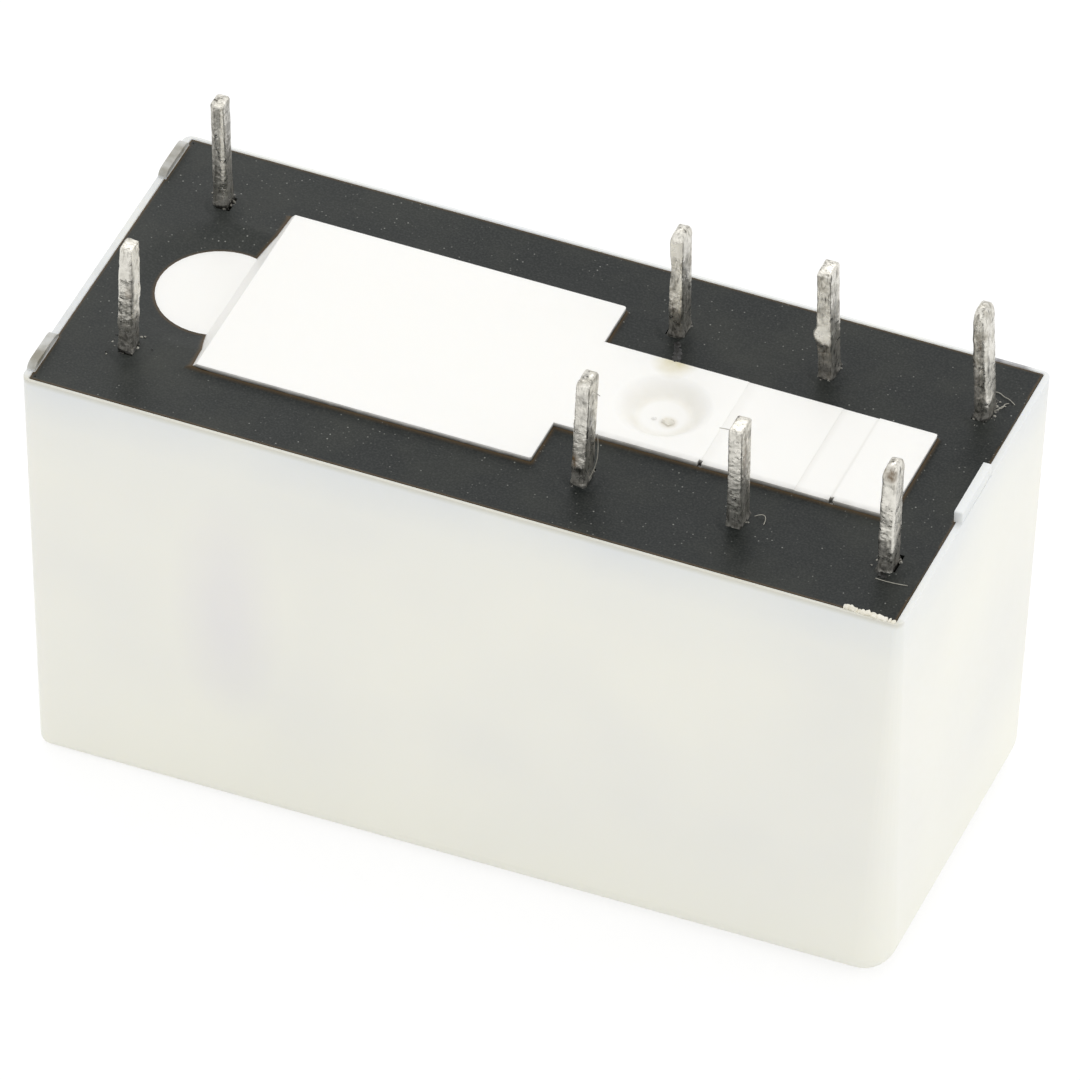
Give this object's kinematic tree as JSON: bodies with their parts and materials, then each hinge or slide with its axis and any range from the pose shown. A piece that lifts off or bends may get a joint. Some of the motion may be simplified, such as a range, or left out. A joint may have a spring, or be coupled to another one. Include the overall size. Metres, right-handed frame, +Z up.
{
  "type": "pcb power relay",
  "caption": "Sealed two-pole changeover power relay for a circuit board, lying on its white cap with the tinned pins up in black potting.",
  "frame": {"origin": "centre of the cap's roof, on the surface that the relay lies on", "axes": "+Z up towards the pins, +X along the case towards the contact end, coil pins at -X, Y across the two poles"},
  "size_m": [0.029, 0.0126, 0.0194],
  "materials": {
    "cap_plastic": "satin white moulding",
    "base_plastic": "satin white moulding",
    "epoxy": "cast black potting",
    "bobbin_plastic": "moulded",
    "card_plastic": "moulded",
    "copper_wire": "enamelled copper",
    "soft_iron": "plated iron",
    "spring_bronze": "rolled bronze",
    "tinned_strip": "tinned, with old solder",
    "silver_contact": "silver alloy",
    "brass_rivet": "brass"
  },
  "bodies": {
    "housing": {"cap": "cap_plastic", "base": "base_plastic", "epoxy_seal": "epoxy", "bobbin": "bobbin_plastic", "coil_winding": "copper_wire", "core": "soft_iron", "yoke": "soft_iron", "armature_spring": "spring_bronze", "coil_terminal_1": "tinned_strip", "coil_terminal_2": "tinned_strip", "nc_terminal_1": "tinned_strip", "nc_terminal_2": "tinned_strip", "com_terminal_1": "tinned_strip", "com_terminal_2": "tinned_strip", "no_terminal_1": "tinned_strip", "no_terminal_2": "tinned_strip", "lead_wire_1": "copper_wire", "lead_wire_2": "copper_wire", "nc_contact_1": "silver_contact", "nc_contact_2": "silver_contact", "no_contact_1": "silver_contact", "no_contact_2": "silver_contact", "spring_rivet_1": "brass_rivet", "spring_rivet_2": "brass_rivet"},
    "armature": {"armature": "soft_iron"},
    "actuator_card": {"actuator_card": "card_plastic"},
    "contact_spring_1": {"moving_spring_1": "spring_bronze", "moving_contact_1": "silver_contact"},
    "contact_spring_2": {"moving_spring_2": "spring_bronze", "moving_contact_2": "silver_contact"}
  },
  "joints": [
    {"name": "armature_pivot", "type": "hinge", "parent": "housing", "child": "armature", "pos_m": [-0.01099, 0, 0.01304], "axis": [0, -1, 0], "range_deg": [0, 3.7], "stiffness_Nm_per_rad": 0.0005, "springref_deg": -17.19},
    {"name": "card_slide", "type": "slide", "parent": "housing", "child": "actuator_card", "axis": [1, 0, 0], "range_m": [0, 0.000729]},
    {"name": "contact_spring_1_flex", "type": "hinge", "parent": "housing", "child": "contact_spring_1", "pos_m": [0.0084, -0.00375, 0.01257], "axis": [0, -1, 0], "range_deg": [0, 3.9]},
    {"name": "contact_spring_2_flex", "type": "hinge", "parent": "housing", "child": "contact_spring_2", "pos_m": [0.0084, 0.00375, 0.01257], "axis": [0, -1, 0], "range_deg": [0, 3.9]}
  ],
  "couplings": [
    {"joint": "armature_pivot", "follows": "card_slide", "rad_per_m": 88.574},
    {"joint": "contact_spring_1_flex", "follows": "card_slide", "rad_per_m": 92.421},
    {"joint": "contact_spring_2_flex", "follows": "card_slide", "rad_per_m": 92.421}
  ]
}
